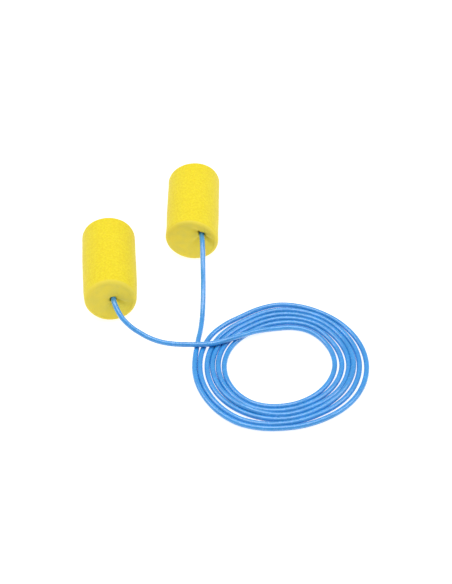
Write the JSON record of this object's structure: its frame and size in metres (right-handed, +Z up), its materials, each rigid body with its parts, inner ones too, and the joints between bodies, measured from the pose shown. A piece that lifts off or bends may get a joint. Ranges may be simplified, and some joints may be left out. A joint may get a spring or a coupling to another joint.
{
  "type": "corded foam ear plugs",
  "caption": "Pair of soft foam cylinder ear plugs, each glued to one end of a thin vinyl cord that is wound into a loose flat coil.",
  "frame": {"origin": "on the surface that the plugs lie on, under the middle of the box around the two plugs", "axes": "+Z up from the surface; +Y the way that both plugs point to within 5 degrees, from the corded inner ends to the outer ends; +X from the left plug towards the right one"},
  "size_m": [0.0685, 0.0782, 0.013],
  "materials": {
    "foam": "matte",
    "vinyl": "satin",
    "glue": "satin"
  },
  "bodies": {
    "cord": {"cord_coil": "vinyl", "cord_lead_left": "vinyl", "cord_lead_right": "vinyl"},
    "left_plug": {"plug_left": "foam", "bond_left": "glue", "cord_end_left": "vinyl"},
    "right_plug": {"plug_right": "foam", "bond_right": "glue", "cord_end_right": "vinyl"}
  },
  "joints": [
    {"name": "left_swing", "type": "hinge", "parent": "cord", "child": "left_plug", "pos_m": [-0.00421, -0.02637, 0.004], "axis": [0, 0, 1], "range_deg": [-8, 45]},
    {"name": "right_swing", "type": "hinge", "parent": "cord", "child": "right_plug", "pos_m": [0.01313, -0.00912, 0.0059], "axis": [0, 0, -1], "range_deg": [-8, 45]}
  ]
}
